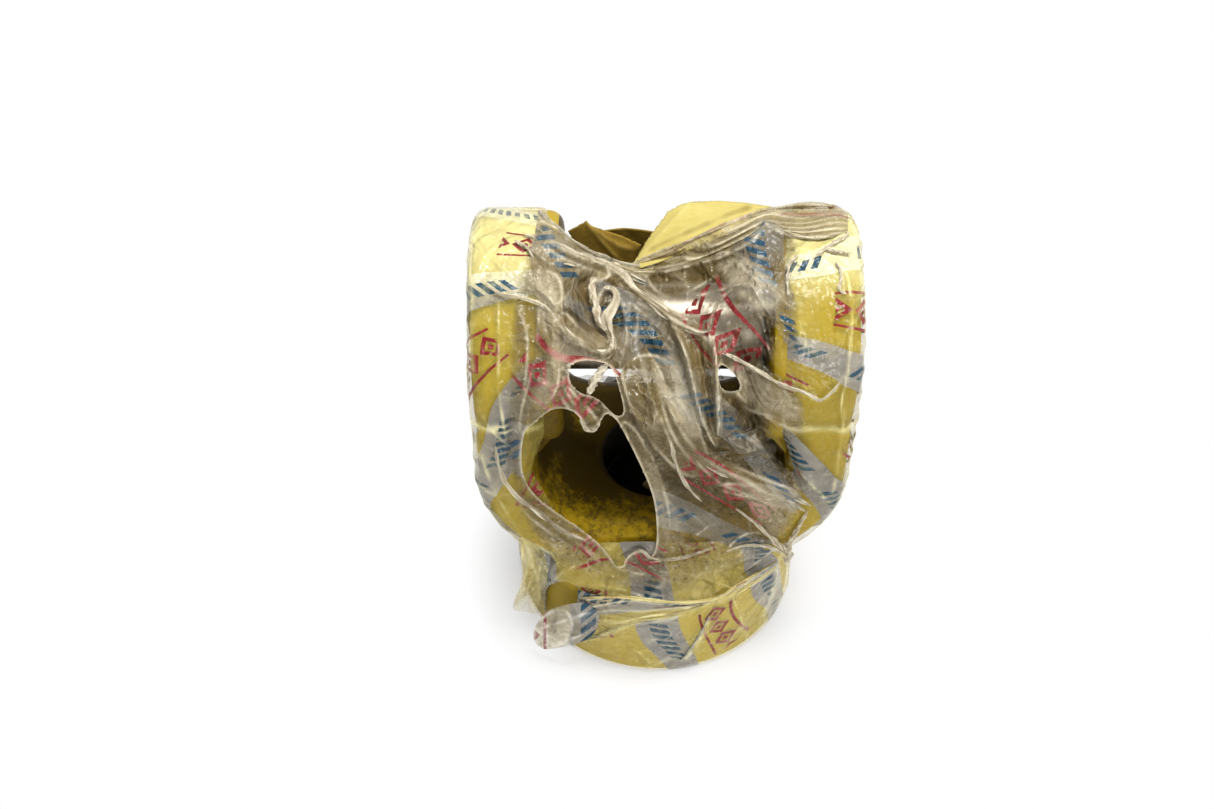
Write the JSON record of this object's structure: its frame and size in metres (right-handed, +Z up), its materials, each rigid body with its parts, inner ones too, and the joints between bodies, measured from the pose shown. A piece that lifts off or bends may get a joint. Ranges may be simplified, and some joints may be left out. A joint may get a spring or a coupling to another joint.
{
  "type": "rod fork",
  "caption": "Painted rod fork for a fluid-power cylinder: round threaded boss, bent bar with eared arms, greased clevis pin in bushes, wrapped in torn clear shrink film and packing paper.",
  "frame": {"origin": "rod axis at the foot of the boss, in the middle of the part's foot", "axes": "+Z up along the rod axis, X along the clevis pin, the torn front of the film toward -Y"},
  "size_m": [0.1282, 0.1072, 0.1752],
  "materials": {
    "yellow_paint": "satin, dusty",
    "bronze": "turned",
    "rubber": "matte",
    "zinc_steel": "zinc plated",
    "dark_steel": "black oxide",
    "pin_steel": "ground, oiled",
    "brass": "turned",
    "shrink_film": "clear, wrinkled, dusty",
    "packing_paper": "matte, creased"
  },
  "bodies": {
    "fork": {"boss": "yellow_paint", "yoke_bar": "yellow_paint", "left_eye": "yellow_paint", "right_eye": "yellow_paint", "boss_welds": "yellow_paint", "left_eye_weld": "yellow_paint", "right_eye_weld": "yellow_paint", "left_bush": "bronze", "right_bush": "bronze", "left_wiper": "rubber", "right_wiper": "rubber", "left_end_washer": "zinc_steel", "right_end_washer": "zinc_steel", "left_circlip": "dark_steel", "right_circlip": "dark_steel", "film_left_ear": "shrink_film", "film_right_ear": "shrink_film", "film_left_shoulder": "shrink_film", "film_right_shoulder": "shrink_film", "film_boss_band": "shrink_film", "film_front_apron": "shrink_film", "film_back_apron": "shrink_film", "film_front_web": "shrink_film", "film_over_web": "shrink_film", "film_back_web": "shrink_film", "film_rope": "shrink_film", "film_side_tail": "shrink_film", "film_torn_strip": "shrink_film", "paper_back_sheet": "packing_paper", "paper_left_flap": "packing_paper", "paper_right_flap": "packing_paper"},
    "pin": {"clevis_pin": "pin_steel", "grease_nipple": "zinc_steel", "nipple_spring": "pin_steel"},
    "check_ball": {"nipple_ball": "pin_steel"},
    "lock_pad": {"lock_pad": "brass"},
    "lock_screw": {"lock_screw": "dark_steel"}
  },
  "joints": [
    {"name": "pin_turn", "type": "hinge", "parent": "fork", "child": "pin", "pos_m": [0, 0, 0.131], "axis": [1, 0, 0], "continuous": true},
    {"name": "ball_lift", "type": "slide", "parent": "pin", "child": "check_ball", "axis": [-1, 0, 0], "range_m": [0, 0.001], "stiffness_N_per_m": 200, "springref_m": -0.001, "deforming": ["nipple_spring"]},
    {"name": "lock_feed", "type": "slide", "parent": "fork", "child": "lock_pad", "axis": [0, -1, 0], "range_m": [0, 0.0015]},
    {"name": "lock_turn", "type": "hinge", "parent": "lock_pad", "child": "lock_screw", "pos_m": [0, 0.03, 0.022], "axis": [0, -1, 0], "range_deg": [0, 360]}
  ],
  "couplings": [
    {"joint": "lock_turn", "follows": "lock_feed", "rad_per_m": 4188.8}
  ]
}
